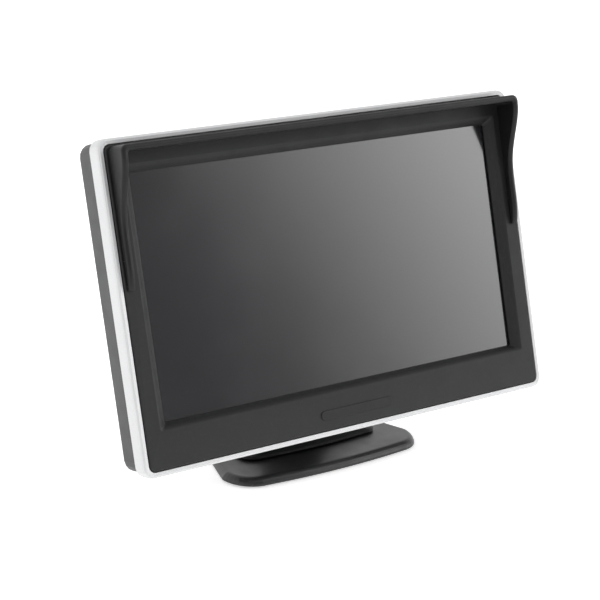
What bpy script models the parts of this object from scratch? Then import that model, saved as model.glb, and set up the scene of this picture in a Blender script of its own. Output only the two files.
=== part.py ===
"""Five-inch reversing-camera monitor on a swivelling and tilting dashboard foot, with a clip-on sun hood.

All dimensions are in millimetres and become metres where a mesh or a place is made. The row frame has +Z up, +X to
the screen's right as seen from the front, and +Y away from the viewer; its origin is the centre of the adhesive
pad's underside. Parts of the head are modelled upright in the head's own frame: x across, y backwards from the
bezel's face, z up along the face, with the origin in the middle of the face.
"""

import math

import bmesh
import bpy

MM = 0.001
GAP = 0.3

# Head: the face of the front bezel, the trim ring round it and the casing behind it.
FACE_W, FACE_H, FACE_R = 125.0, 82.2, 1.5
RING_BORDER = 1.75
RING_DEPTH = 5.2
RING_LIP = 1.0
RING_W, RING_H, RING_R = FACE_W + 2 * RING_BORDER, FACE_H + 2 * RING_BORDER, 2.9
CASE_INSET = 0.7
CASE_W, CASE_H, CASE_R = RING_W - 2 * CASE_INSET, RING_H - 2 * CASE_INSET, 3.2
CASE_FRONT = RING_DEPTH + 0.4
RIM_BACK = 14.2
BULGE_BACK = 19.0
WALL = 2.0
BULGE_W, BULGE_H = 96.0, 64.0

# Screen: the opening in the bezel, its bevel, and the panel behind it.
OPENING_W, OPENING_H, OPENING_Z = 112.0, 63.4, 1.95
BEVEL_W, BEVEL_H, BEVEL_Z = 116.8, 67.3, 2.25
BEVEL_DEPTH = 2.1
LIP_BACK = 2.5
PANEL_W, PANEL_H, PANEL_Z = 118.0, 71.0, 2.4
GLASS_FRONT, GLASS_BACK = 2.8, 4.6
GASKET_BACK, TRAY_BACK = 5.2, 8.6

# Hood: outer half width, top, thickness, and how far its front edge stands out at the top and on the legs.
HOOD_X, HOOD_TOP, HOOD_THICK = 61.8, 40.75, 1.8
HOOD_ROOF = 1.75
HOOD_REACH, HOOD_LEG_REACH = 8.1, 2.3
HOOD_END_Z, HOOD_HEEL_Z, HOOD_WAIST_Z, HOOD_BROW_Z = 4.8, 12.2, 17.0, 38.5
PEG_LONG, PEG_THICK, PEG_DEEP = 6.0, 1.0, 2.8
ROOF_PEG_X, LEG_PEG_Z = 30.0, 9.0

# Circuit board, its switches and the keys that press them.
BOARD_W, BOARD_H, BOARD_FRONT, BOARD_THICK = 86.0, 52.0, 11.4, 1.6
BOARD_BACK = BOARD_FRONT + BOARD_THICK
BOARD_SCREW_X, BOARD_SCREW_Z = 39.0, 22.0
KEYS = ("power", "menu", "down", "up")
KEY_PITCH, KEY_Z, KEY_W, KEY_H, KEY_PROUD = 12.0, 21.5, 8.0, 4.2, 1.0
CEILING = BULGE_BACK - WALL

# Lead socket in the back of the casing.
SOCKET_X, SOCKET_Z, SOCKET_W, SOCKET_H = -30.0, -12.5, 14.4, 9.8
SOCKET_WALL, SOCKET_FLOOR, SOCKET_PROUD = 1.1, 1.0, 0.8

# Screws that hold the casing to the bezel.
CASE_SCREW_X, CASE_SCREW_Z = 52.0, -36.4

# Slide-on bracket and the tilt hinge.
PLATE_W, PLATE_TOP, PLATE_BOTTOM, PLATE_THICK = 24.0, -8.0, -30.0, 2.0
RAIL_OUT, RAIL_LIP_X, RAIL_BACK, RAIL_BOTTOM = 15.0, 10.2, 23.2, -29.5
HINGE_DEPTH, HINGE_Z = 29.5, -20.0
KNUCKLE_R, KNUCKLE_HALF = 5.0, 5.0
WASHER_THICK = 0.8
EAR_IN = KNUCKLE_HALF + 2 * GAP + WASHER_THICK
EAR_OUT = EAR_IN + 4.2
BOLT_R = 1.9

# Stand, in the row frame.
TILT = math.radians(13.72)
HINGE_Y, HINGE_HEIGHT = 2.0, 29.9
FOOT_FRONT, FOOT_BACK = -23.0, 23.0
FOOT_HALF, FOOT_WIDEST_Y, FOOT_TAPER = 30.9, -11.7, 0.29
FOOT_SAG, FOOT_CORNER = 1.3, 8.4
FOOT_TOP = 2.5
PAD_THICK, PAD_INSET = 1.0, 3.0
HUB_R, HUB_TOP = 7.0, 5.2
NECK_W, NECK_D = 44.5, 22.8
STOP_R, STOP_ANGLE = 11.5, math.radians(45)
SWIVEL_SCREW_R = 1.7


# ---------------------------------------------------------------- outlines


def arc(centre, radius, start, end, steps):
    """Points on an arc; radius may be one number or one for each axis."""
    rx, ry = radius if isinstance(radius, tuple) else (radius, radius)
    points = []
    for i in range(steps + 1):
        angle = start + (end - start) * i / steps
        points.append((centre[0] + rx * math.cos(angle), centre[1] + ry * math.sin(angle)))
    return points


def rounded_rect(width, height, radius, centre=(0.0, 0.0), steps=4):
    """A rectangle with round corners, always with the same number of points for the same steps."""
    x, z = width / 2 - radius, height / 2 - radius
    points = []
    for i, (sx, sz) in enumerate(((1, 1), (-1, 1), (-1, -1), (1, -1))):
        corner = (centre[0] + sx * x, centre[1] + sz * z)
        points += arc(corner, radius, i * math.pi / 2, (i + 1) * math.pi / 2, steps)
    return points


def circle(radius, centre=(0.0, 0.0), steps=24):
    return arc(centre, radius, 0, 2 * math.pi * (steps - 1) / steps, steps - 1)


def cross(long, thin, centre=(0.0, 0.0)):
    """The outline of a screw's cross recess: half its length, and half the width of an arm."""
    corner = ((long, thin), (thin, thin), (thin, long))
    points = []
    for turn in range(4):
        c, s = round(math.cos(turn * math.pi / 2)), round(math.sin(turn * math.pi / 2))
        points += [(centre[0] + c * x - s * y, centre[1] + s * x + c * y) for x, y in corner]
    return points


def foot_outline(inset):
    """The foot's fan shape: a bowed front, round front corners, sides that draw in backwards, a straight back."""
    half = FOOT_HALF - inset
    front, back = FOOT_FRONT + inset, FOOT_BACK - inset
    flat = FOOT_HALF - FOOT_CORNER
    widest = FOOT_WIDEST_Y - 0.4 * inset
    shoulder = front + FOOT_SAG
    points = []
    bow_steps = 12
    for i in range(bow_steps):
        x = -flat + 2 * flat * i / bow_steps
        points.append((x, front + FOOT_SAG * (x / flat) ** 2))
    points += arc((flat, widest), (half - flat, widest - shoulder), -math.pi / 2, 0, 10)
    back_half = half - FOOT_TAPER * (back - FOOT_WIDEST_Y)
    back_r = 7.0
    side_x = half - FOOT_TAPER * (back - back_r - FOOT_WIDEST_Y)
    points += arc((side_x - back_r, back - back_r), back_r, 0, math.pi / 2, 5)
    mirrored = [(-x, y) for x, y in reversed(points[bow_steps:])]
    assert back_half > back_r
    return points + mirrored


def hood_reach(z):
    """How far the hood's front edge stands out from the face at height z."""
    if z >= HOOD_WAIST_Z:
        share = min(1.0, (z - HOOD_WAIST_Z) / (HOOD_BROW_Z - HOOD_WAIST_Z)) ** 1.3
        return HOOD_LEG_REACH + (HOOD_REACH - HOOD_LEG_REACH) * share * share * (3 - 2 * share)
    if z >= HOOD_HEEL_Z:
        return HOOD_LEG_REACH
    fall = (HOOD_HEEL_Z - z) / (HOOD_HEEL_Z - HOOD_END_Z + 0.4)
    return 0.5 + (HOOD_LEG_REACH - 0.5) * math.sqrt(1 - fall * fall)


# ---------------------------------------------------------------- solids


def bridge(mesh, first, second):
    """Quads between two loops of the same length."""
    n = len(first)
    for i in range(n):
        mesh.faces.new((first[i], first[(i + 1) % n], second[(i + 1) % n], second[i]))


def placed(axis, a, b, along):
    """A point of an outline (a, b) at a distance along the axis it is extruded on."""
    return {"X": (along, a, b), "Y": (a, along, b), "Z": (a, b, along)}[axis]


def add_loops(mesh, axis, loops, ring=False):
    """A solid through loops of the same length, each (outline, distance along axis); a ring joins the last to the
    first, and any other solid gets its two ends capped."""
    made = []
    for outline, along in loops:
        made.append([mesh.verts.new([MM * c for c in placed(axis, a, b, along)]) for a, b in outline])
    for first, second in zip(made, made[1:]):
        bridge(mesh, first, second)
    if ring:
        bridge(mesh, made[-1], made[0])
    else:
        mesh.faces.new(made[0])
        mesh.faces.new(made[-1])


def add_prism(mesh, axis, outline, low, high):
    add_loops(mesh, axis, [(outline, low), (outline, high)])


def add_box(mesh, low, high):
    (x0, y0, z0), (x1, y1, z1) = low, high
    add_prism(mesh, "Z", [(x0, y0), (x1, y0), (x1, y1), (x0, y1)], z0, z1)


def add_tube(mesh, axis, centre, outer, inner, low, high, steps=24):
    wide, narrow = circle(outer, centre, steps), circle(inner, centre, steps)
    add_loops(mesh, axis, [(wide, low), (wide, high), (narrow, high), (narrow, low)], ring=True)


def add_screw(mesh, axis, centre, head_r, head, shank_r, shank):
    """A pan-head screw: head and shank are each (far end of it, near end) along the axis, meeting at head[1]."""
    head_loop, rim_loop = circle(head_r, centre), circle(head_r - 0.3, centre)
    shank_loop, tip_loop = circle(shank_r, centre), circle(shank_r * 0.6, centre)
    step = math.copysign(0.3, head[1] - head[0])
    tip = shank - math.copysign(0.6, shank - head[1])
    loops = [(rim_loop, head[0]), (head_loop, head[0] + step), (head_loop, head[1])]
    loops += [(shank_loop, head[1]), (shank_loop, tip), (tip_loop, shank)]
    add_loops(mesh, axis, loops)


def material(name, colour, roughness, metallic=0.0):
    made = bpy.data.materials.new(name)
    made.use_nodes = True
    shader = made.node_tree.nodes["Principled BSDF"]
    shader.inputs["Base Color"].default_value = (*colour, 1)
    shader.inputs["Roughness"].default_value = roughness
    shader.inputs["Metallic"].default_value = metallic
    return made


def solid(name, mesh, frame, finish=None):
    """Turns a bmesh into a named object in a frame, with its faces pointing out."""
    bmesh.ops.recalc_face_normals(mesh, faces=mesh.faces)
    data = bpy.data.meshes.new(name)
    mesh.to_mesh(data)
    mesh.free()
    made = bpy.data.objects.new(name, data)
    bpy.context.scene.collection.objects.link(made)
    made.parent = frame
    if finish:
        data.materials.append(finish)
        data.shade_smooth()
        data.set_sharp_from_angle(angle=math.radians(35))
    return made


def bevelled(made, width, segments=2):
    bevel = made.modifiers.new("edges", "BEVEL")
    bevel.width = width * MM
    bevel.segments = segments
    bevel.limit_method = "ANGLE"
    bevel.angle_limit = math.radians(40)
    return made


def combine(target, operation, helper):
    """Adds or cuts a helper shape, which is hidden and is not a part."""
    helper.hide_render = True
    helper.display_type = "WIRE"
    boolean = target.modifiers.new(helper.name, "BOOLEAN")
    boolean.operation = operation
    boolean.object = helper


def frame_at(name, location, parent=None, tilt=0.0):
    made = bpy.data.objects.new(name, None)
    bpy.context.scene.collection.objects.link(made)
    made.location = [MM * c for c in location]
    made.rotation_euler = (tilt, 0, 0)
    made.parent = parent
    return made


# ---------------------------------------------------------------- head: bezel, ring, casing


def bevel_loops():
    """Loops from the screen opening out to the face, on a curve that is steep at the opening and flat at the face."""
    loops = []
    for share, depth in ((0.26, 0.6), (0.55, 0.28), (0.82, 0.08), (1.0, 0.0)):
        width = OPENING_W + share * (BEVEL_W - OPENING_W)
        height = OPENING_H + share * (BEVEL_H - OPENING_H)
        centre = OPENING_Z + share * (BEVEL_Z - OPENING_Z)
        outline = rounded_rect(width, height, 0.4 + 0.4 * share, (0, centre))
        loops.append((outline, depth * BEVEL_DEPTH))
    return loops


def front_bezel(head, finish):
    """The black face with its bevelled screen opening, a wall round its edge, screw posts and locating tabs."""
    inner_w, inner_h = FACE_W - 3.6, FACE_H - 3.6
    wall_back = RING_DEPTH - RING_LIP - GAP
    centre = (0, OPENING_Z)
    opening = rounded_rect(OPENING_W, OPENING_H, 0.4, centre)
    mesh = bmesh.new()
    add_loops(mesh, "Y", [
        (rounded_rect(FACE_W - 0.6, FACE_H - 0.6, FACE_R - 0.3), 0),
        (rounded_rect(FACE_W, FACE_H, FACE_R), 0.3),
        (rounded_rect(FACE_W, FACE_H, FACE_R), wall_back),
        (rounded_rect(inner_w, inner_h, 1.0), wall_back),
        (rounded_rect(inner_w, inner_h, 1.0), LIP_BACK),
        (opening, LIP_BACK),
        (opening, BEVEL_DEPTH),
        *bevel_loops(),
    ], ring=True)
    bezel = solid("front_bezel", mesh, head, finish)

    posts = bmesh.new()
    for side in (-1, 1):
        add_prism(posts, "Y", circle(2.3, (side * CASE_SCREW_X, CASE_SCREW_Z), 16), 1.2, 8.2)
        add_box(posts, (side * 35 - 4, 1.2, 38.6), (side * 35 + 4, 8.5, 39.6))
    combine(bezel, "UNION", solid("bezel_posts", posts, head))

    holes = bmesh.new()
    slot = PEG_THICK / 2 + GAP
    half = PEG_LONG / 2 + GAP
    roof_z = HOOD_TOP - HOOD_ROOF / 2
    leg_x = HOOD_X - HOOD_THICK / 2
    for side in (-1, 1):
        add_prism(holes, "Y", circle(1.25, (side * CASE_SCREW_X, CASE_SCREW_Z), 16), 3.6, 9.0)
        x, z = side * ROOF_PEG_X, roof_z
        add_box(holes, (x - half, -1, z - slot), (x + half, PEG_DEEP + GAP, z + slot))
        x, z = side * leg_x, LEG_PEG_Z
        add_box(holes, (x - slot, -1, z - half), (x + slot, PEG_DEEP + GAP, z + half))
    combine(bezel, "DIFFERENCE", solid("bezel_holes", holes, head))
    return bezel


def trim_ring(head, finish):
    """The bright ring round the bezel. Its rear lip is clamped between the bezel's wall and the casing's rim."""
    inside = rounded_rect(FACE_W + 2 * GAP, FACE_H + 2 * GAP, FACE_R + GAP)
    lip = rounded_rect(122.4, 80.0, 1.2)
    mesh = bmesh.new()
    add_loops(mesh, "Y", [
        (rounded_rect(RING_W - 1.3, RING_H - 1.3, RING_R - 0.65), 0.25),
        (rounded_rect(RING_W - 0.4, RING_H - 0.4, RING_R - 0.2), 0.6),
        (rounded_rect(RING_W, RING_H, RING_R), 1.4),
        (rounded_rect(RING_W, RING_H, RING_R), RING_DEPTH),
        (lip, RING_DEPTH),
        (lip, RING_DEPTH - RING_LIP),
        (inside, RING_DEPTH - RING_LIP),
        (inside, 0.35),
    ], ring=True)
    return solid("trim_ring", mesh, head, finish)


def casing_rails(head):
    """The two hooked rails on the casing's back that the bracket plate slides up into, and their top stop."""
    mesh = bmesh.new()
    root = BULGE_BACK - 0.5
    lip = RAIL_BACK - 1.6
    slide = PLATE_W / 2 + GAP
    stop_low = PLATE_TOP + GAP
    for side in (-1, 1):
        hook = [(slide, root), (RAIL_OUT, root), (RAIL_OUT, RAIL_BACK), (RAIL_LIP_X, RAIL_BACK)]
        hook += [(RAIL_LIP_X, lip), (slide, lip)]
        add_prism(mesh, "Z", [(side * x, y) for x, y in hook], RAIL_BOTTOM, stop_low + 1)
    rails = solid("casing_rails", mesh, head)
    stop = bmesh.new()
    add_box(stop, (-RAIL_OUT, root, stop_low), (RAIL_OUT, RAIL_BACK, stop_low + 2.4))
    combine(rails, "UNION", solid("casing_rail_stop", stop, head))
    return rails


def rear_casing(head, finish):
    """The back shell: side walls, a stepped back, rails for the bracket, vents, key holes and the socket's hole."""
    mesh = bmesh.new()
    bulge_in = (BULGE_W - 2 * WALL, BULGE_H - 2 * WALL)
    inner = rounded_rect(CASE_W - 2 * WALL, CASE_H - 2 * WALL, CASE_R - 1.6)
    outer = rounded_rect(CASE_W, CASE_H, CASE_R)
    add_loops(mesh, "Y", [
        (rounded_rect(bulge_in[0] - 4, bulge_in[1] - 4, 3.5), CEILING),
        (rounded_rect(*bulge_in, 4.0), RIM_BACK - WALL),
        (inner, RIM_BACK - WALL),
        (inner, CASE_FRONT),
        (outer, CASE_FRONT),
        (outer, RIM_BACK - 1.5),
        (rounded_rect(CASE_W - 0.4, CASE_H - 0.4, CASE_R - 0.1), RIM_BACK - 0.9),
        (rounded_rect(CASE_W - 1.2, CASE_H - 1.2, CASE_R - 0.4), RIM_BACK - 0.35),
        (rounded_rect(CASE_W - 3.0, CASE_H - 3.0, CASE_R - 1.0), RIM_BACK),
        (rounded_rect(BULGE_W, BULGE_H, 5.0), RIM_BACK),
        (rounded_rect(BULGE_W - 3.4, BULGE_H - 3.4, 5.0), BULGE_BACK - 0.6),
        (rounded_rect(BULGE_W - 4.6, BULGE_H - 4.6, 4.5), BULGE_BACK),
    ])
    casing = solid("rear_casing", mesh, head, finish)

    posts = bmesh.new()
    for x in (-BOARD_SCREW_X, BOARD_SCREW_X):
        for z in (-BOARD_SCREW_Z, BOARD_SCREW_Z):
            add_prism(posts, "Y", circle(2.6, (x, z), 12), BOARD_BACK + GAP, CEILING + 0.8)
    for side in (-1, 1):
        add_prism(posts, "Y", circle(2.6, (side * CASE_SCREW_X, CASE_SCREW_Z), 16), 8.6, RIM_BACK - 1)
    combine(casing, "UNION", solid("casing_posts", posts, head))
    combine(casing, "UNION", casing_rails(head))

    holes = bmesh.new()
    for x in (-BOARD_SCREW_X, BOARD_SCREW_X):
        for z in (-BOARD_SCREW_Z, BOARD_SCREW_Z):
            add_prism(holes, "Y", circle(1.3, (x, z), 12), BOARD_BACK - 1, CEILING)
    for side in (-1, 1):
        centre = (side * CASE_SCREW_X, CASE_SCREW_Z)
        seat = RIM_BACK - 1.8
        add_loops(holes, "Y", [(circle(1.25, centre, 16), 8), (circle(1.25, centre, 16), seat),
                               (circle(2.35, centre, 16), seat), (circle(2.35, centre, 16), RIM_BACK + 1)])
        for i in range(5):
            x = side * (25 + 3.4 * i)
            slot = rounded_rect(1.6, 17, 0.79, (x, 4.5), steps=2)
            add_prism(holes, "Y", slot, CEILING - 1, BULGE_BACK + 1)
    for i in range(len(KEYS)):
        outline = rounded_rect(KEY_W + 2 * GAP, KEY_H + 2 * GAP, 1.6, (key_x(i), KEY_Z))
        add_prism(holes, "Y", outline, CEILING - 1, BULGE_BACK + 1)
    hole = rounded_rect(SOCKET_W + 2 * GAP, SOCKET_H + 2 * GAP, 0.8, (SOCKET_X, SOCKET_Z), steps=2)
    add_prism(holes, "Y", hole, CEILING - 1, BULGE_BACK + 1)
    combine(casing, "DIFFERENCE", solid("casing_holes", holes, head))
    return casing


# ---------------------------------------------------------------- head: screen and electronics


def plate(name, head, finish, size, y, radius=0.5, hole=None, bevel=0.0):
    """A flat slab across the head: size is (width, height, centre z), y its front and back, hole the same as size."""
    width, height, centre_z = size
    outline = rounded_rect(width, height, radius, (0, centre_z), steps=2)
    mesh = bmesh.new()
    if hole:
        inside = rounded_rect(hole[0], hole[1], 0.4, (0, hole[2]), steps=2)
        add_loops(mesh, "Y", [(outline, y[0]), (outline, y[1]), (inside, y[1]), (inside, y[0])], ring=True)
    else:
        add_prism(mesh, "Y", outline, *y)
    made = solid(name, mesh, head, finish)
    return bevelled(made, bevel, 1) if bevel else made


def chip(name, head, finish, centre, size, height, front=False):
    """A component standing on the board's back, or on its front."""
    (x, z), (w, h) = centre, size
    low = BOARD_FRONT - GAP - height if front else BOARD_BACK + GAP
    mesh = bmesh.new()
    add_box(mesh, (x - w / 2, low, z - h / 2), (x + w / 2, low + height, z + h / 2))
    return bevelled(solid(name, mesh, head, finish), 0.15, 1)


def capacitor(name, head, finish, centre):
    low = BOARD_BACK + GAP
    mesh = bmesh.new()
    add_loops(mesh, "Y", [(circle(2.6, centre, 16), low), (circle(2.6, centre, 16), low + 2.8),
                          (circle(2.3, centre, 16), low + 3.1)])
    return solid(name, mesh, head, finish)


def main_board(head, finish):
    board = plate("main_board", head, finish, (BOARD_W, BOARD_H, 0), (BOARD_FRONT, BOARD_BACK), 1.0)
    holes = bmesh.new()
    for x in (-BOARD_SCREW_X, BOARD_SCREW_X):
        for z in (-BOARD_SCREW_Z, BOARD_SCREW_Z):
            add_prism(holes, "Y", circle(1.4, (x, z), 12), BOARD_FRONT - 1, BOARD_BACK + 1)
    combine(board, "DIFFERENCE", solid("board_holes", holes, head))
    return board


def lcd_ribbon(head, finish):
    """The flat flex lead from the panel's lower edge up to its connector on the board's front."""
    thick = 0.35
    run = [(9.1, -32.5), (9.1, -25.0), (10.4, -23.0), (10.4, -22.3)]
    outline = run + [(y + thick, z) for y, z in reversed(run)]
    mesh = bmesh.new()
    add_prism(mesh, "X", outline, -12, 12)
    return solid("lcd_ribbon", mesh, head, finish)


def cable_socket(head, finish, contact):
    """A shrouded socket for the power and video lead, open to the back, with contact strips along its floor."""
    low, high = BOARD_BACK + GAP, BULGE_BACK + SOCKET_PROUD
    outer = rounded_rect(SOCKET_W, SOCKET_H, 0.6, (SOCKET_X, SOCKET_Z), steps=2)
    inner_w, inner_h = SOCKET_W - 2 * SOCKET_WALL, SOCKET_H - 2 * SOCKET_WALL
    inner = rounded_rect(inner_w, inner_h, 0.4, (SOCKET_X, SOCKET_Z), steps=2)
    mesh = bmesh.new()
    add_loops(mesh, "Y", [(outer, low), (outer, high), (inner, high), (inner, low + SOCKET_FLOOR)])
    solid("cable_socket", mesh, head, finish)
    floor_z = SOCKET_Z - inner_h / 2 + GAP
    for i in range(4):
        x = SOCKET_X + 2.4 * (i - 1.5)
        strip = bmesh.new()
        add_box(strip, (x - 0.5, low + SOCKET_FLOOR + GAP, floor_z), (x + 0.5, high - 0.9, floor_z + 0.35))
        solid(f"socket_contact_{i + 1}", strip, head, contact)


def key_x(i):
    return KEY_PITCH * (i - (len(KEYS) - 1) / 2)


def keys_and_switches(head, finish, switch_finish):
    """Each key is held in by a flange behind the casing's wall and stands clear of its switch by its travel."""
    for i, name in enumerate(KEYS):
        x = key_x(i)
        pivot = frame_at(f"key_{name}_slide", (x, BULGE_BACK, KEY_Z), head)
        back = KEY_PROUD
        flange_back = CEILING - BULGE_BACK - GAP
        flange = rounded_rect(KEY_W + 1.8, KEY_H + 1.8, 1.8)
        stem = rounded_rect(KEY_W, KEY_H, 1.4)
        mesh = bmesh.new()
        add_loops(mesh, "Y", [(flange, flange_back - 0.8), (flange, flange_back), (stem, flange_back),
                              (stem, back - 0.35), (rounded_rect(KEY_W - 0.7, KEY_H - 0.7, 1.1), back)])
        solid(f"key_{name}", mesh, pivot, finish)
        chip(f"switch_{name}", head, switch_finish, (x, KEY_Z), (5.2, 5.2), 1.5)


def fasteners(head, finish):
    for side, name in ((-1, "left"), (1, "right")):
        mesh = bmesh.new()
        centre = (side * CASE_SCREW_X, CASE_SCREW_Z)
        add_screw(mesh, "Y", centre, 2.0, (RIM_BACK - 0.25, RIM_BACK - 1.5), 0.95, 4.4)
        made = solid(f"case_screw_{name}", mesh, head, finish)
        recess = bmesh.new()
        add_prism(recess, "Y", cross(1.2, 0.28, centre), RIM_BACK - 0.85, RIM_BACK + 1)
        combine(made, "DIFFERENCE", solid(f"case_screw_recess_{name}", recess, head))
    corners = [(x, z) for z in (BOARD_SCREW_Z, -BOARD_SCREW_Z) for x in (-BOARD_SCREW_X, BOARD_SCREW_X)]
    for i, centre in enumerate(corners):
        mesh = bmesh.new()
        add_screw(mesh, "Y", centre, 2.2, (9.9, 11.1), 1.0, 15.6)
        solid(f"board_screw_{i + 1}", mesh, head, finish)


# ---------------------------------------------------------------- sun hood


def hood_stations():
    """Outer and inner points across the hood's wall, from the end of one leg over the roof to the end of the other."""
    x, top = HOOD_X, HOOD_TOP
    inner_x, inner_top = x - HOOD_THICK, top - HOOD_ROOF
    corner, inner_corner = 1.7, 0.7
    low = inner_top - inner_corner
    steps = 26
    heights = [HOOD_END_Z + (low - HOOD_END_Z) * i / steps for i in range(steps)]
    half = [((x, z), (inner_x, z)) for z in heights]
    outer = arc((x - corner, top - corner), corner, 0, math.pi / 2, 5)
    inner = arc((inner_x - inner_corner, low), inner_corner, 0, math.pi / 2, 5)
    half += list(zip(outer, inner))
    return half + [((-a[0], a[1]), (-b[0], b[1])) for a, b in reversed(half)]


def hood_section(outer, inner):
    """The wall's section at one station: straight sides and a round nose."""
    reach = hood_reach(outer[1])
    nose = min(0.75, 0.55 * (reach - GAP))
    points = [(0.0, -GAP)]
    for i in range(9):
        angle = math.pi * i / 8
        points.append((0.5 - 0.5 * math.cos(angle), nose - reach - nose * math.sin(angle)))
    points.append((1.0, -GAP))
    return [(outer[0] + s * (inner[0] - outer[0]), y, outer[1] + s * (inner[1] - outer[1])) for s, y in points]


def sun_hood(head, finish):
    """A roof and two legs in one moulding, with pegs that push into slots in the bezel's face."""
    hood = frame_at("hood_slide", (0, 0, 0), head)
    x, top = HOOD_X, HOOD_TOP
    mesh = bmesh.new()
    sections = []
    for outer, inner in hood_stations():
        sections.append([mesh.verts.new([MM * c for c in point]) for point in hood_section(outer, inner)])
    for first, second in zip(sections, sections[1:]):
        bridge(mesh, first, second)
    mesh.faces.new(sections[0])
    mesh.faces.new(sections[-1])
    made = solid("sun_hood", mesh, hood, finish)

    pegs = bmesh.new()
    thick, half = PEG_THICK / 2, PEG_LONG / 2
    for s in (-1, 1):
        px, pz = s * ROOF_PEG_X, top - HOOD_ROOF / 2
        add_box(pegs, (px - half, -1.2, pz - thick), (px + half, PEG_DEEP, pz + thick))
        px, pz = s * (x - HOOD_THICK / 2), LEG_PEG_Z
        add_box(pegs, (px - thick, -1.2, pz - half), (px + thick, PEG_DEEP, pz + half))
    combine(made, "UNION", solid("hood_pegs", pegs, hood))
    return made


# ---------------------------------------------------------------- stand


def foot(root, plate_finish, pad_finish):
    """The thin fan-shaped foot with its rolled skirt, a hub for the neck, a stop slot, and the pad under it."""
    skirt = ((0, GAP), (0.06, 0.85), (0.3, 1.4), (0.65, 1.85), (1.05, 2.2), (1.5, 2.42), (2.0, FOOT_TOP))
    mesh = bmesh.new()
    add_loops(mesh, "Z", [(foot_outline(inset), z) for inset, z in skirt])
    made = solid("foot_plate", mesh, root, plate_finish)
    hub = bmesh.new()
    add_prism(hub, "Z", circle(HUB_R), FOOT_TOP - 1, HUB_TOP)
    combine(made, "UNION", solid("foot_hub", hub, root))

    recess_top = PAD_THICK + GAP
    recess = bmesh.new()
    add_prism(recess, "Z", foot_outline(PAD_INSET - GAP), -1, recess_top)
    combine(made, "DIFFERENCE", solid("foot_pad_recess", recess, root))
    holes = bmesh.new()
    add_loops(holes, "Z", [(circle(5.0), -1), (circle(5.0), 3.6), (circle(2.1), 3.6), (circle(2.1), HUB_TOP + 1)])
    reach = STOP_ANGLE + math.radians(8)
    inner, outer = STOP_R - 1.5, STOP_R + 1.5
    slot = arc((0, 0), outer, -reach, reach, 14) + arc((0, 0), inner, reach, -reach, 14)
    add_prism(holes, "Z", slot, -1, FOOT_TOP + 1)
    combine(made, "DIFFERENCE", solid("foot_holes", holes, root))

    mesh = bmesh.new()
    add_prism(mesh, "Z", foot_outline(PAD_INSET), 0, PAD_THICK)
    solid("adhesive_pad", mesh, root, pad_finish)


def neck(swivel, finish):
    """The neck: a low wide base with a bowed front, a domed collar over the hub, a waist, and the hinge's two ears."""
    y = HINGE_Y
    low, ears = FOOT_TOP + GAP, 2 * EAR_OUT
    # Each section: height, width, depth, centre y, corner radius, and how far the front's ends draw back.
    sections = (
        (low, NECK_W - 0.5, NECK_D - 0.5, 0.0, 4.4, 1.0), (low + 0.35, NECK_W, NECK_D, 0.0, 4.5, 1.0),
        (3.7, NECK_W - 0.7, NECK_D - 0.6, 0.0, 4.5, 1.0), (4.3, NECK_W - 3.6, NECK_D - 1.9, 0.0, 4.6, 0.9),
        (4.9, NECK_W - 11.0, NECK_D - 3.4, 0.0, 5.0, 0.6), (5.6, 24.0, 18.4, 0.0, 6.5, 0.3),
        (6.8, 19.6, 16.6, 0.0, 6.8, 0.0), (9.0, 18.0, 13.2, 0.4 * y, 5.0, 0.0), (13.0, 18.4, 11.2, 0.9 * y, 3.4, 0.0),
        (19.0, ears, 10.2, y, 2.4, 0.0), (HINGE_HEIGHT, ears, 10.0, y, 2.0, 0.0),
    )
    mesh = bmesh.new()
    loops = []
    for z, width, depth, centre_y, radius, bow in sections:
        outline = rounded_rect(width, depth, radius, (0, centre_y), steps=5)
        flat, front = width / 2 - radius, centre_y - depth / 2
        outline[18:18] = [(share * flat, front) for share in (-0.6, -0.2, 0.2, 0.6)]
        outline = [(x, v + (bow * min(1.0, abs(x) / flat) ** 2 if v < centre_y else 0.0)) for x, v in outline]
        loops.append((outline, z))
    add_loops(mesh, "Z", loops)
    made = solid("neck", mesh, swivel, finish)

    top = bmesh.new()
    add_prism(top, "X", circle(KNUCKLE_R, (y, HINGE_HEIGHT), 28), -EAR_OUT, EAR_OUT)
    combine(made, "UNION", solid("neck_ear_tops", top, swivel))
    peg = bmesh.new()
    add_prism(peg, "Z", circle(1.2, (STOP_R, 0), 12), FOOT_TOP - 0.9, FOOT_TOP + 2)
    combine(made, "UNION", solid("neck_stop_peg", peg, swivel))

    cuts = bmesh.new()
    add_box(cuts, (-EAR_IN, y - 9, HINGE_HEIGHT - 7.4), (EAR_IN, y + 9, HINGE_HEIGHT + 9))
    combine(made, "DIFFERENCE", solid("neck_fork_gap", cuts, swivel))
    bore = bmesh.new()
    add_prism(bore, "X", circle(BOLT_R + GAP, (y, HINGE_HEIGHT), 20), -EAR_OUT - 1, EAR_OUT + 1)
    combine(made, "DIFFERENCE", solid("neck_hinge_bore", bore, swivel))
    hub = bmesh.new()
    well, screw = circle(HUB_R + 0.4), circle(SWIVEL_SCREW_R + GAP)
    add_loops(hub, "Z", [(well, 0), (well, HUB_TOP + GAP), (screw, HUB_TOP + GAP), (screw, 15)])
    combine(made, "DIFFERENCE", solid("neck_hub_well", hub, swivel))
    return made


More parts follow.
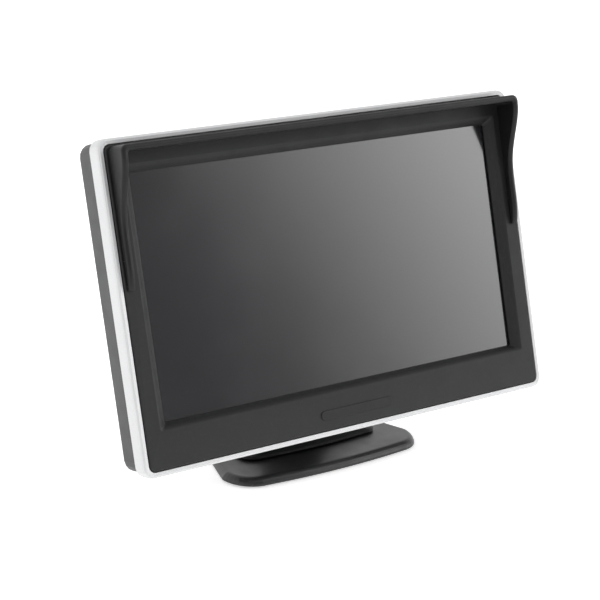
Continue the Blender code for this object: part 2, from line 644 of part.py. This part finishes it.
def stand_hardware(root, swivel, finish, washer_finish):
    """The screw under the hub with its washer, and the hinge's bolt, nut and friction washers."""
    mesh = bmesh.new()
    add_screw(mesh, "Z", (0, 0), 3.8, (1.5, 2.4), SWIVEL_SCREW_R, 14)
    solid("swivel_screw", mesh, swivel, finish)
    mesh = bmesh.new()
    add_tube(mesh, "Z", (0, 0), 4.5, 2.05, 2.7, 3.3)
    solid("swivel_washer", mesh, root, washer_finish)

    hinge = frame_at("hinge_hardware", (0, HINGE_Y, HINGE_HEIGHT), swivel)
    mesh = bmesh.new()
    head_x = -EAR_OUT - GAP
    add_screw(mesh, "X", (0, 0), 3.6, (head_x - 2.4, head_x), BOLT_R, EAR_OUT + 3.6)
    bolt = solid("hinge_bolt", mesh, hinge, finish)
    recess = bmesh.new()
    add_prism(recess, "X", cross(2.1, 0.45), head_x - 3.4, head_x - 1.3)
    combine(bolt, "DIFFERENCE", solid("hinge_bolt_recess", recess, hinge))
    mesh = bmesh.new()
    nut, bore = circle(3.7, steps=6), circle(BOLT_R + GAP, steps=6)
    low, high = EAR_OUT + GAP, EAR_OUT + GAP + 2.6
    add_loops(mesh, "X", [(nut, low), (nut, high), (bore, high), (bore, low)], ring=True)
    solid("hinge_nut", mesh, hinge, finish)
    for side, name in ((-1, "left"), (1, "right")):
        near = side * (KNUCKLE_HALF + GAP)
        mesh = bmesh.new()
        add_tube(mesh, "X", (0, 0), 4.4, BOLT_R + GAP, near, near + side * WASHER_THICK)
        solid(f"friction_washer_{name}", mesh, hinge, washer_finish)


def tilt_bracket(tilting, finish):
    """The plate that the head slides down onto, with the hinge's middle knuckle. Its frame is the hinge axis."""
    front = BULGE_BACK + GAP - HINGE_DEPTH
    top, bottom = PLATE_TOP - HINGE_Z, PLATE_BOTTOM - HINGE_Z
    half = PLATE_W / 2
    outline = rounded_rect(PLATE_W, top - bottom, 1.5, (0, (top + bottom) / 2))
    mesh = bmesh.new()
    add_prism(mesh, "Y", outline, front, front + PLATE_THICK)
    made = solid("tilt_bracket", mesh, tilting, finish)
    web = bmesh.new()
    profile = arc((0, 0), KNUCKLE_R, -math.pi / 2, math.pi / 2, 14)
    profile += [(front + 1, KNUCKLE_R + 1.5), (front + 1, -KNUCKLE_R - 1.5)]
    add_prism(web, "X", profile, -KNUCKLE_HALF, KNUCKLE_HALF)
    combine(made, "UNION", solid("bracket_knuckle", web, tilting))
    bore = bmesh.new()
    add_prism(bore, "X", circle(BOLT_R + GAP, steps=20), -half, half)
    combine(made, "DIFFERENCE", solid("bracket_bore", bore, tilting))
    return made


# ---------------------------------------------------------------- assembly


def main():
    for existing in list(bpy.data.objects):
        bpy.data.objects.remove(existing)
    black = material("black_plastic", (0.035, 0.035, 0.037), 0.45)
    hood_black = material("hood_plastic", (0.03, 0.03, 0.032), 0.5)
    silver = material("silver_paint", (0.72, 0.73, 0.74), 0.3, 0.7)
    foot_grey = material("foot_plastic", (0.045, 0.045, 0.048), 0.4)
    glass = material("screen_glass", (0.015, 0.015, 0.018), 0.12)
    foam = material("foam", (0.02, 0.02, 0.02), 0.95)
    steel = material("zinc_steel", (0.6, 0.6, 0.62), 0.3, 1.0)
    board_green = material("board_green", (0.02, 0.12, 0.05), 0.5)
    chip_black = material("chip_black", (0.02, 0.02, 0.022), 0.55)
    amber = material("flex_film", (0.45, 0.22, 0.05), 0.4)
    nylon = material("nylon", (0.7, 0.68, 0.6), 0.5)

    root = frame_at("foot_frame", (0, 0, 0))
    swivel = frame_at("swivel_axis", (0, 0, 0), root)
    tilting = frame_at("tilt_axis", (0, HINGE_Y, HINGE_HEIGHT), swivel, tilt=-TILT)
    head = frame_at("head_frame", (0, -HINGE_DEPTH, -HINGE_Z), tilting)

    foot(root, foot_grey, foam)
    neck(swivel, foot_grey)
    stand_hardware(root, swivel, steel, nylon)
    tilt_bracket(tilting, black)

    front_bezel(head, black)
    trim_ring(head, silver)
    rear_casing(head, black)
    sun_hood(head, hood_black)

    panel = (PANEL_W, PANEL_H, PANEL_Z)
    gasket_hole = (OPENING_W + 1.2, OPENING_H + 1.2, OPENING_Z)
    plate("lcd_glass", head, glass, panel, (GLASS_FRONT, GLASS_BACK), 0.6)
    plate("screen_gasket", head, foam, panel, (GLASS_BACK + GAP, GASKET_BACK), hole=gasket_hole)
    plate("backlight_tray", head, steel, panel, (GASKET_BACK + GAP, TRAY_BACK), 0.8, bevel=0.3)
    main_board(head, board_green)
    chip("scaler_chip", head, chip_black, (9, 3), (12, 12), 1.4)
    chip("decoder_chip", head, chip_black, (-10, 5), (8, 8), 1.1)
    chip("power_inductor", head, chip_black, (30, -14), (6.5, 6.5), 2.8)
    chip("ribbon_connector", head, nylon, (0, -19.5), (26, 5), 1.2, front=True)
    for i, centre in enumerate(((22, -18), (16, -12), (-16, -10))):
        capacitor(f"capacitor_{i + 1}", head, steel, centre)
    lcd_ribbon(head, amber)
    cable_socket(head, nylon, steel)
    keys_and_switches(head, chip_black, steel)
    fasteners(head, steel)


main()
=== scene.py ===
import math

import bmesh
import bpy
from mathutils import Matrix, Vector


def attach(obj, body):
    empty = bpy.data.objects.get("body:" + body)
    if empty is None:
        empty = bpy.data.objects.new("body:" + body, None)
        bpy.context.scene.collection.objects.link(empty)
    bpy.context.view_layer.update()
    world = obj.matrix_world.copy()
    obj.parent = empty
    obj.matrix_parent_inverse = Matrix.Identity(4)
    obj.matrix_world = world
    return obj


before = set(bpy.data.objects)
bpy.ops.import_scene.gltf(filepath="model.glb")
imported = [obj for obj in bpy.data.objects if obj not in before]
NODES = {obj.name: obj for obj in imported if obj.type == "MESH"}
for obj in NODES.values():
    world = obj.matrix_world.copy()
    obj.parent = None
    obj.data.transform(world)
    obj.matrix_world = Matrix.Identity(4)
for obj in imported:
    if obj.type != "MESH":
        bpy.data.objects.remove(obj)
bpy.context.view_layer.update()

MM = 0.001

# The head's own frame: x across, y backwards from the bezel's face, z up along it, in millimetres.
TILT = math.radians(13.72)
HINGE = Vector((0, 2.0, 29.9))
HEAD_SHIFT = Vector((0, -29.5, 20.0))
HEAD = Matrix.Translation(HINGE * MM) @ Matrix.Rotation(-TILT, 4, "X") @ Matrix.Translation(HEAD_SHIFT * MM)

# Softened edges, in millimetres and degrees.
BRACKET_EDGE = 0.3
EDGE_SEGMENTS = 2
EDGE_ANGLE = 40
FLAT_NODES = ("front_bezel", "trim_ring", "rear_casing", "sun_hood", "neck", "foot_plate")

# The plain bar on the bezel: length, depth and height, its place in the head's frame, its corner and rim rounds.
BAR_SIZE = (23.0, 0.6, 2.6)
BAR_PLACE = Vector((0.4, 0.05, -37.0))
BAR_CORNER, BAR_CORNER_SEGMENTS = 1.1, 6
BAR_RIM, BAR_RIM_SEGMENTS = 0.2, 3

# The camera: its lens in millimetres, its direction in degrees, and its place from the bezel's centre.
LENS, SENSOR = 101.99, 36
YAW, PITCH, ROLL = 32.5, 16.78, -0.39
CAMERA_BACK, CAMERA_LEFT, CAMERA_DOWN = 453.04, 10.05, 7.36

# The floor, in metres, just under the pad.
FLOOR_HALF = 4
FLOOR_DROP = 0.0002
FLOOR_GLOW = 0.5

# The room's light: weakest behind the viewer, strongest ahead of the viewer, and the share left straight above.
ROOM_NEAR, ROOM_FAR, ROOM_ABOVE = 0.17, 1.25, 0.8

# The soft light, in degrees: its direction, how far from its middle it fades out and is full, and its brighter side.
SOFTBOX_AZIMUTH, SOFTBOX_ELEVATION = 48, 14
SOFTBOX_OUTER, SOFTBOX_INNER = 32, 20
SOFTBOX_SIDE = 25
SOFTBOX_POWER = 3.0

# How strongly a piece's larger faces set its normals, from 1 to 100.
CAD_WEIGHT, BAR_WEIGHT = 100, 50


# ------------------------------------------------------------------ node material helpers


class Nodes:
    """Short ways to add nodes to one material."""

    def __init__(self, name):
        self.material = bpy.data.materials.new(name)
        self.material.use_nodes = True
        self.tree = self.material.node_tree
        self.shader = self.tree.nodes["Principled BSDF"]
        self.coords = self.add("ShaderNodeTexCoord").outputs["Object"]

    def add(self, kind, **settings):
        node = self.tree.nodes.new(kind)
        for key, value in settings.items():
            setattr(node, key, value)
        return node

    def link(self, source, target):
        self.tree.links.new(source, target)

    def set(self, **values):
        for key, value in values.items():
            self.shader.inputs[key.replace("_", " ")].default_value = value

    def noise(self, scale, detail=2.0, roughness=0.5):
        """Noise on object coordinates. The scale is in features per metre."""
        node = self.add("ShaderNodeTexNoise")
        node.inputs["Scale"].default_value = scale
        node.inputs["Detail"].default_value = detail
        node.inputs["Roughness"].default_value = roughness
        self.link(self.coords, node.inputs["Vector"])
        return node.outputs["Fac"]

    def remap(self, value, low, high, from_low=0.0, from_high=1.0):
        """Stretches a value from one range to another, and clamps it."""
        node = self.add("ShaderNodeMapRange")
        node.inputs["From Min"].default_value = from_low
        node.inputs["From Max"].default_value = from_high
        node.inputs["To Min"].default_value = low
        node.inputs["To Max"].default_value = high
        self.link(value, node.inputs["Value"])
        return node.outputs["Result"]

    def mix(self, factor, first, second):
        """Mixes two colours, each a tuple or a node's output."""
        node = self.add("ShaderNodeMix", data_type="RGBA")
        for socket, value in ((node.inputs[6], first), (node.inputs[7], second)):
            if isinstance(value, tuple):
                socket.default_value = (*value, 1)
            else:
                self.link(value, socket)
        self.link(factor, node.inputs[0])
        return node.outputs[2]

    def bump(self, height, distance, strength=1.0, below=None):
        """Bump over another normal, if there is one. The distance is in millimetres."""
        node = self.add("ShaderNodeBump")
        node.inputs["Distance"].default_value = distance * MM
        node.inputs["Strength"].default_value = strength
        self.link(height, node.inputs["Height"])
        if below:
            self.link(below, node.inputs["Normal"])
        return node.outputs["Normal"]

    def edge_wear(self):
        """Near 1 on sharp convex edges, 0 on flats."""
        flat, sharp = 0.52, 0.6
        pointiness = self.add("ShaderNodeNewGeometry").outputs["Pointiness"]
        return self.remap(pointiness, 0.0, 1.0, flat, sharp)


# ------------------------------------------------------------------ materials


def moulded(name, colour, roughness, grain=0.02, grain_scale=2600, wear=0.25, specular=0.5):
    """Moulded plastic with a fine spark-eroded grain, slow gloss variation and lighter rubbed edges.

    The grain's depth is in millimetres, and its scale is in features per metre. Wear 0 leaves the edges as they are.
    """
    n = Nodes(name)
    slow = n.noise(45, 3)
    speckle = n.noise(900, 2)
    lighter = tuple(min(1.0, c * 1.35 + 0.004) for c in colour)
    darker = tuple(c * 0.88 for c in colour)
    base = n.mix(n.remap(slow, 0, 1, 0.35, 0.65), darker, tuple(colour))
    base = n.mix(n.remap(speckle, 0, 0.35, 0.5, 0.8), base, lighter)
    if wear:
        rubbed = tuple(min(1.0, c * 2.2 + 0.02) for c in colour)
        factor = n.add("ShaderNodeMath", operation="MULTIPLY")
        n.link(n.edge_wear(), factor.inputs[0])
        factor.inputs[1].default_value = wear
        base = n.mix(factor.outputs[0], base, rubbed)
    n.link(base, n.shader.inputs["Base Color"])
    n.link(n.remap(n.noise(160, 3), roughness - 0.05, roughness + 0.06, 0.3, 0.7), n.shader.inputs["Roughness"])
    n.set(Specular_IOR_Level=specular)
    fine = n.bump(n.noise(grain_scale, 2, 0.6), grain)
    n.link(n.bump(n.noise(grain_scale / 3.2, 2), grain * 0.8, 0.6, fine), n.shader.inputs["Normal"])
    return n.material


def silver_paint(name):
    """Fine metallic silver paint under a satin lacquer."""
    n = Nodes(name)
    flake = n.noise(6000, 1)
    slow = n.noise(30, 3)
    base = n.mix(n.remap(flake, 0, 1, 0.35, 0.65), (0.6, 0.605, 0.61), (0.68, 0.68, 0.685))
    base = n.mix(n.remap(slow, 0, 0.4, 0.4, 0.7), base, (0.58, 0.585, 0.595))
    n.link(base, n.shader.inputs["Base Color"])
    n.link(n.remap(n.noise(120, 3), 0.38, 0.46, 0.3, 0.7), n.shader.inputs["Roughness"])
    n.set(Metallic=0.12, Coat_Weight=0.08, Coat_Roughness=0.25)
    n.link(n.bump(n.noise(3500, 2), 0.004), n.shader.inputs["Normal"])
    return n.material


def screen(name):
    """The display's dark polariser, with a hard-coated surface."""
    n = Nodes(name)
    base = n.mix(n.remap(n.noise(25, 2), 0, 1, 0.3, 0.7), (0.010, 0.010, 0.012), (0.014, 0.014, 0.017))
    n.link(base, n.shader.inputs["Base Color"])
    n.link(n.remap(n.noise(60, 3), 0.1, 0.13, 0.3, 0.7), n.shader.inputs["Roughness"])
    n.set(IOR=2.15)
    n.link(n.bump(n.noise(5000, 1), 0.0004), n.shader.inputs["Normal"])
    return n.material


def metal(name, colour, roughness):
    """Zinc-plated steel with slight changes of tone and gloss."""
    n = Nodes(name)
    tone = n.noise(400, 3)
    darker = tuple(c * 0.7 for c in colour)
    n.link(n.mix(n.remap(tone, 0, 1, 0.35, 0.65), darker, tuple(colour)), n.shader.inputs["Base Color"])
    n.link(n.remap(n.noise(700, 3), roughness - 0.06, roughness + 0.08, 0.3, 0.7), n.shader.inputs["Roughness"])
    n.set(Metallic=1.0)
    n.link(n.bump(n.noise(2500, 2), 0.006), n.shader.inputs["Normal"])
    return n.material


def foam(name):
    """Closed-cell black foam."""
    n = Nodes(name)
    cells = n.add("ShaderNodeTexVoronoi")
    cells.inputs["Scale"].default_value = 1800
    n.link(n.coords, cells.inputs["Vector"])
    distance = cells.outputs["Distance"]
    n.link(n.mix(distance, (0.008, 0.008, 0.008), (0.03, 0.03, 0.031)), n.shader.inputs["Base Color"])
    n.set(Roughness=0.95, Specular_IOR_Level=0.2)
    n.link(n.bump(distance, 0.12), n.shader.inputs["Normal"])
    return n.material


def board(name):
    """Green solder mask with lighter tracks."""
    n = Nodes(name)
    tracks = n.add("ShaderNodeTexVoronoi", distance="CHEBYCHEV", feature="F2")
    tracks.inputs["Scale"].default_value = 260
    n.link(n.coords, tracks.inputs["Vector"])
    factor = n.remap(tracks.outputs["Distance"], 0, 1, 0.55, 0.6)
    n.link(n.mix(factor, (0.01, 0.075, 0.03), (0.025, 0.13, 0.055)), n.shader.inputs["Base Color"])
    n.set(Roughness=0.35, Coat_Weight=0.4)
    n.link(n.bump(factor, 0.03), n.shader.inputs["Normal"])
    return n.material


def assign(material, *names):
    """Gives a material to the named nodes."""
    for name in names:
        data = NODES[name].data
        data.materials.clear()
        data.materials.append(material)


face_black = moulded("face_black", (0.012, 0.012, 0.0124), 0.5, specular=0.32)
hood_black = moulded("hood_black", (0.006, 0.006, 0.0062), 0.46, specular=0.3)
case_black = moulded("case_black", (0.028, 0.028, 0.03), 0.42, grain=0.03, grain_scale=1900, wear=0)
stand_black = moulded("stand_black", (0.016, 0.016, 0.017), 0.38)
# Painted shade: the neck is the stand's own black plastic, made darker and duller here so that its colour carries the
# shadow the head casts on it.
neck_black_painted_shade = moulded("neck_black_painted_shade", (0.01, 0.01, 0.0105), 0.5, specular=0.25)
key_black = moulded("key_black", (0.05, 0.05, 0.052), 0.6, grain=0.015, wear=0.1)
chip_black = moulded("chip_black", (0.02, 0.02, 0.021), 0.5, grain=0.01, wear=0.1)
nylon = moulded("nylon", (0.68, 0.66, 0.58), 0.5, grain=0.01, wear=0)
film = moulded("film", (0.42, 0.2, 0.04), 0.35, grain=0.004, wear=0)
tray_white = moulded("tray_white", (0.62, 0.62, 0.62), 0.5, grain=0.01, wear=0)
silver = silver_paint("silver")
glass = screen("screen")
zinc = metal("zinc", (0.72, 0.72, 0.74), 0.3)
pad_foam = foam("pad_foam")
solder_mask = board("solder_mask")

assign(face_black, "front_bezel")
assign(silver, "trim_ring")
assign(case_black, "rear_casing", "tilt_bracket")
assign(hood_black, "sun_hood")
assign(stand_black, "foot_plate")
assign(neck_black_painted_shade, "neck")
assign(glass, "lcd_glass")
assign(pad_foam, "adhesive_pad", "screen_gasket")
assign(tray_white, "backlight_tray")
assign(solder_mask, "main_board")
assign(film, "lcd_ribbon")
assign(nylon, "ribbon_connector", "cable_socket", "swivel_washer", "friction_washer_left", "friction_washer_right")
assign(chip_black, "scaler_chip", "decoder_chip", "power_inductor")
for key in ("power", "menu", "down", "up"):
    assign(key_black, f"key_{key}")
    assign(chip_black, f"switch_{key}")
for name in NODES:
    if name.startswith(("board_screw", "case_screw", "capacitor", "socket_contact")):
        assign(zinc, name)
assign(zinc, "swivel_screw", "hinge_bolt", "hinge_nut")


# ------------------------------------------------------------------ edges, and the plain bar on the bezel


def keep_flats_flat(piece, weight):
    """Shades a piece's flats as flat, by weighting each normal with the size of its faces."""
    flat = piece.modifiers.new("flats", "WEIGHTED_NORMAL")
    flat.keep_sharp = True
    flat.weight = weight


def soften(piece, width):
    """Rounds a piece's sharp edges a little."""
    edge = piece.modifiers.new("edges", "BEVEL")
    edge.width = width * MM
    edge.segments = EDGE_SEGMENTS
    edge.limit_method = "ANGLE"
    edge.angle_limit = math.radians(EDGE_ANGLE)


def bezel_bar():
    """A plain raised bar, low on the bezel, where a mark would be."""
    long, deep, high = BAR_SIZE
    mesh = bmesh.new()
    bmesh.ops.create_cube(mesh, size=1.0)
    for vertex in mesh.verts:
        vertex.co = Vector((vertex.co.x * long, vertex.co.y * deep, vertex.co.z * high))
    corners = [e for e in mesh.edges if abs(e.verts[0].co.y - e.verts[1].co.y) > deep / 2]
    bmesh.ops.bevel(mesh, geom=corners, offset=BAR_CORNER, segments=BAR_CORNER_SEGMENTS, profile=0.5, affect="EDGES")
    rim = [e for e in mesh.edges if all(v.co.y < -0.48 * deep for v in e.verts)]
    bmesh.ops.bevel(mesh, geom=rim, offset=BAR_RIM, segments=BAR_RIM_SEGMENTS, profile=0.5, affect="EDGES")
    for vertex in mesh.verts:
        vertex.co = HEAD @ ((vertex.co + BAR_PLACE) * MM)
    data = bpy.data.meshes.new("bezel_bar")
    mesh.to_mesh(data)
    mesh.free()
    for polygon in data.polygons:
        polygon.use_smooth = True
    made = bpy.data.objects.new("bezel_bar", data)
    bpy.context.scene.collection.objects.link(made)
    keep_flats_flat(made, BAR_WEIGHT)
    data.materials.append(face_black)
    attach(made, "head")


soften(NODES["tilt_bracket"], BRACKET_EDGE)
for name in ("tilt_bracket", *FLAT_NODES):
    keep_flats_flat(NODES[name], CAD_WEIGHT)
bezel_bar()


# ------------------------------------------------------------------ camera, floor and light


def camera():
    """Looks down at the head from the front left, a little off the bezel's centre."""
    data = bpy.data.cameras.new("camera")
    data.lens = LENS
    data.sensor_width = SENSOR
    made = bpy.data.objects.new("camera", data)
    bpy.context.scene.collection.objects.link(made)
    yaw, pitch, roll = (math.radians(angle) for angle in (YAW, PITCH, ROLL))
    forward = Vector((math.sin(yaw) * math.cos(pitch), math.cos(yaw) * math.cos(pitch), -math.sin(pitch)))
    right = Vector((math.cos(yaw), -math.sin(yaw), 0))
    up = right.cross(forward)
    side = right * math.cos(roll) + up * math.sin(roll)
    top = -right * math.sin(roll) + up * math.cos(roll)
    face = HEAD @ Vector((0, 0, 0))
    place = face + (-forward * CAMERA_BACK - side * CAMERA_LEFT - top * CAMERA_DOWN) * MM
    turn = Matrix((side, top, -forward)).transposed().to_4x4()
    made.matrix_world = Matrix.Translation(place) @ turn
    bpy.context.scene.camera = made


def floor():
    """A plain pale sheet, lit a little from within so that it stays even."""
    mesh = bmesh.new()
    bmesh.ops.create_grid(mesh, x_segments=8, y_segments=8, size=FLOOR_HALF)
    data = bpy.data.meshes.new("floor")
    mesh.to_mesh(data)
    mesh.free()
    made = bpy.data.objects.new("floor", data)
    bpy.context.scene.collection.objects.link(made)
    made.location.z = -FLOOR_DROP
    n = Nodes("floor_paper")
    n.link(n.mix(n.noise(4, 2), (0.9, 0.9, 0.9), (0.93, 0.93, 0.93)), n.shader.inputs["Base Color"])
    n.set(Roughness=0.9, Specular_IOR_Level=0.1, Emission_Color=(1, 1, 1, 1), Emission_Strength=FLOOR_GLOW)
    data.materials.append(n.material)


def studio():
    """A white room, dimmer on the viewer's side, with one broad soft light to the front right."""
    made = bpy.data.worlds.new("studio")
    made.use_nodes = True
    tree = made.node_tree
    direction = tree.nodes.new("ShaderNodeTexCoord").outputs["Generated"]

    def along(vector, low, high, from_low, from_high):
        """Goes smoothly from low to high as the direction turns towards the vector."""
        dot = tree.nodes.new("ShaderNodeVectorMath")
        dot.operation = "DOT_PRODUCT"
        tree.links.new(direction, dot.inputs[0])
        dot.inputs[1].default_value = vector
        ramp = tree.nodes.new("ShaderNodeMapRange")
        ramp.interpolation_type = "SMOOTHSTEP"
        tree.links.new(dot.outputs["Value"], ramp.inputs["Value"])
        for socket, value in (("From Min", from_low), ("From Max", from_high), ("To Min", low), ("To Max", high)):
            ramp.inputs[socket].default_value = value
        return ramp.outputs["Result"]

    def combined(operation, first, second):
        """The sum or the product of two outputs."""
        node = tree.nodes.new("ShaderNodeMath")
        node.operation = operation
        tree.links.new(first, node.inputs[0])
        tree.links.new(second, node.inputs[1])
        return node.outputs[0]

    azimuth, elevation = math.radians(SOFTBOX_AZIMUTH), math.radians(SOFTBOX_ELEVATION)
    softbox = (math.sin(azimuth) * math.cos(elevation), -math.cos(azimuth) * math.cos(elevation), math.sin(elevation))
    outer, inner = math.cos(math.radians(SOFTBOX_OUTER)), math.cos(math.radians(SOFTBOX_INNER))
    side = math.radians(SOFTBOX_SIDE)
    room = along((0, 0.8, 0.6), ROOM_NEAR, ROOM_FAR, -0.6, 0.1)
    ceiling = along((0, 0, 1), 1.0, ROOM_ABOVE, 0.35, 0.85)
    spread = along((math.cos(side), math.sin(side), 0.3), 0.0, SOFTBOX_POWER, 0.075, 0.394)
    window = along(softbox, 0.0, 1.0, outer, inner)
    total = combined("ADD", combined("MULTIPLY", room, ceiling), combined("MULTIPLY", spread, window))
    background = tree.nodes["Background"]
    background.inputs["Color"].default_value = (1, 1, 1, 1)
    tree.links.new(total, background.inputs["Strength"])
    bpy.context.scene.world = made


camera()
floor()
studio()
bpy.context.scene.view_settings.view_transform = "Standard"
